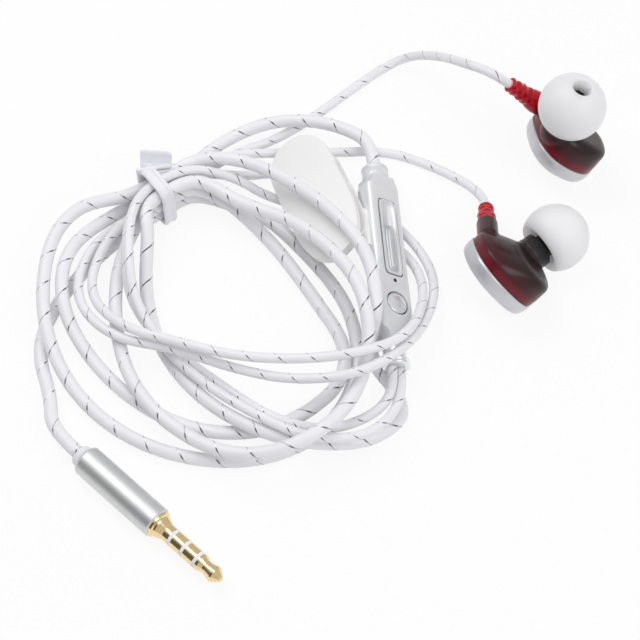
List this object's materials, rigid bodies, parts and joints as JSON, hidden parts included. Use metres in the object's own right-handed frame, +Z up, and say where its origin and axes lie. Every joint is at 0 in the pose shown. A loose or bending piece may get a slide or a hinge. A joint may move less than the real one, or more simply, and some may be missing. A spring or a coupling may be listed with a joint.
{
  "type": "wired earphones",
  "caption": "Wired in-ear earphones with an in-line remote, spring clip and plug, the cord lying in a loose tied coil.",
  "frame": {"origin": "on the table, under the middle of the box round the remote, clip and both earbuds", "axes": "+X to the right in the picture, +Y away from the viewer along the table, +Z up"},
  "size_m": [0.1151, 0.122, 0.0286],
  "materials": {
    "aluminium": "satin, turned",
    "gold": "gold plated, polished",
    "insulator": "moulded",
    "white_plastic": "smooth",
    "inner_plastic": "moulded",
    "silver_face": "satin silver",
    "grey_shell": "satin silver",
    "board": "circuit board",
    "slider": "smooth",
    "button": "satin silver",
    "steel": "fine",
    "spring": "wire",
    "clip": "cream white",
    "cord": "soft, matte",
    "bud_cap": "silver grey",
    "bud_shell": "dark maroon, polished",
    "ear_tip": "soft silicone",
    "relief": "crimson",
    "skin": "thin film",
    "seal": "foam"
  },
  "bodies": {
    "handset": {"plug_barrel": "aluminium", "plug_collar": "white_plastic", "plug_tip": "gold", "plug_ring_front": "gold", "plug_ring_rear": "gold", "plug_insulators": "insulator", "plug_sleeve": "gold", "plug_inner_mould": "inner_plastic", "remote_front_shell": "silver_face", "remote_back_shell": "grey_shell", "control_board": "board", "slider_track": "inner_plastic", "slide_pot": "inner_plastic", "tact_switch": "inner_plastic", "microphone": "steel", "remote_top_collar": "white_plastic", "remote_bottom_collar": "silver_face", "clip_base": "clip", "clip_pin": "steel", "clip_spring": "spring", "cable_tie": "white_plastic", "main_cord_plug_end": "cord", "main_cord_coil": "cord", "main_cord_remote_end": "cord", "left_cord": "cord", "right_cord": "cord", "left_back_cap": "bud_cap", "left_shell": "bud_shell", "left_nozzle_mesh": "steel", "left_strain_relief": "relief", "left_driver_frame": "inner_plastic", "left_driver_magnet": "steel", "left_driver_diaphragm": "skin", "left_driver_seal": "seal", "right_back_cap": "bud_cap", "right_shell": "bud_shell", "right_nozzle_mesh": "steel", "right_strain_relief": "relief", "right_driver_frame": "inner_plastic", "right_driver_magnet": "steel", "right_driver_diaphragm": "skin", "right_driver_seal": "seal"},
    "slider": {"volume_slider": "slider"},
    "button": {"call_button": "button"},
    "jaw": {"clip_jaw": "clip"},
    "left_tip": {"left_ear_tip": "ear_tip"},
    "right_tip": {"right_ear_tip": "ear_tip"}
  },
  "joints": [
    {"name": "volume_slide", "type": "slide", "parent": "handset", "child": "slider", "axis": [-0.0767, 0.9971, 0], "range_m": [0, 0.0054]},
    {"name": "call_press", "type": "slide", "parent": "handset", "child": "button", "axis": [-0.5719, -0.044, -0.8192], "range_m": [0, 0.0004], "stiffness_N_per_m": 400, "springref_m": -0.0002},
    {"name": "clip_squeeze", "type": "hinge", "parent": "handset", "child": "jaw", "pos_m": [-0.02422, 0.00737, 0.00638], "axis": [0.7716, 0.3693, 0.518], "range_deg": [0, 8], "stiffness_Nm_per_rad": 0.12, "springref_deg": -8.59, "deforming": ["clip_spring"]},
    {"name": "left_tip_pull", "type": "slide", "parent": "handset", "child": "left_tip", "axis": [0.2202, 0.0295, 0.975], "range_m": [0, 0.007]},
    {"name": "right_tip_pull", "type": "slide", "parent": "handset", "child": "right_tip", "axis": [0.8095, 0.5754, 0.1169], "range_m": [0, 0.007]}
  ]
}
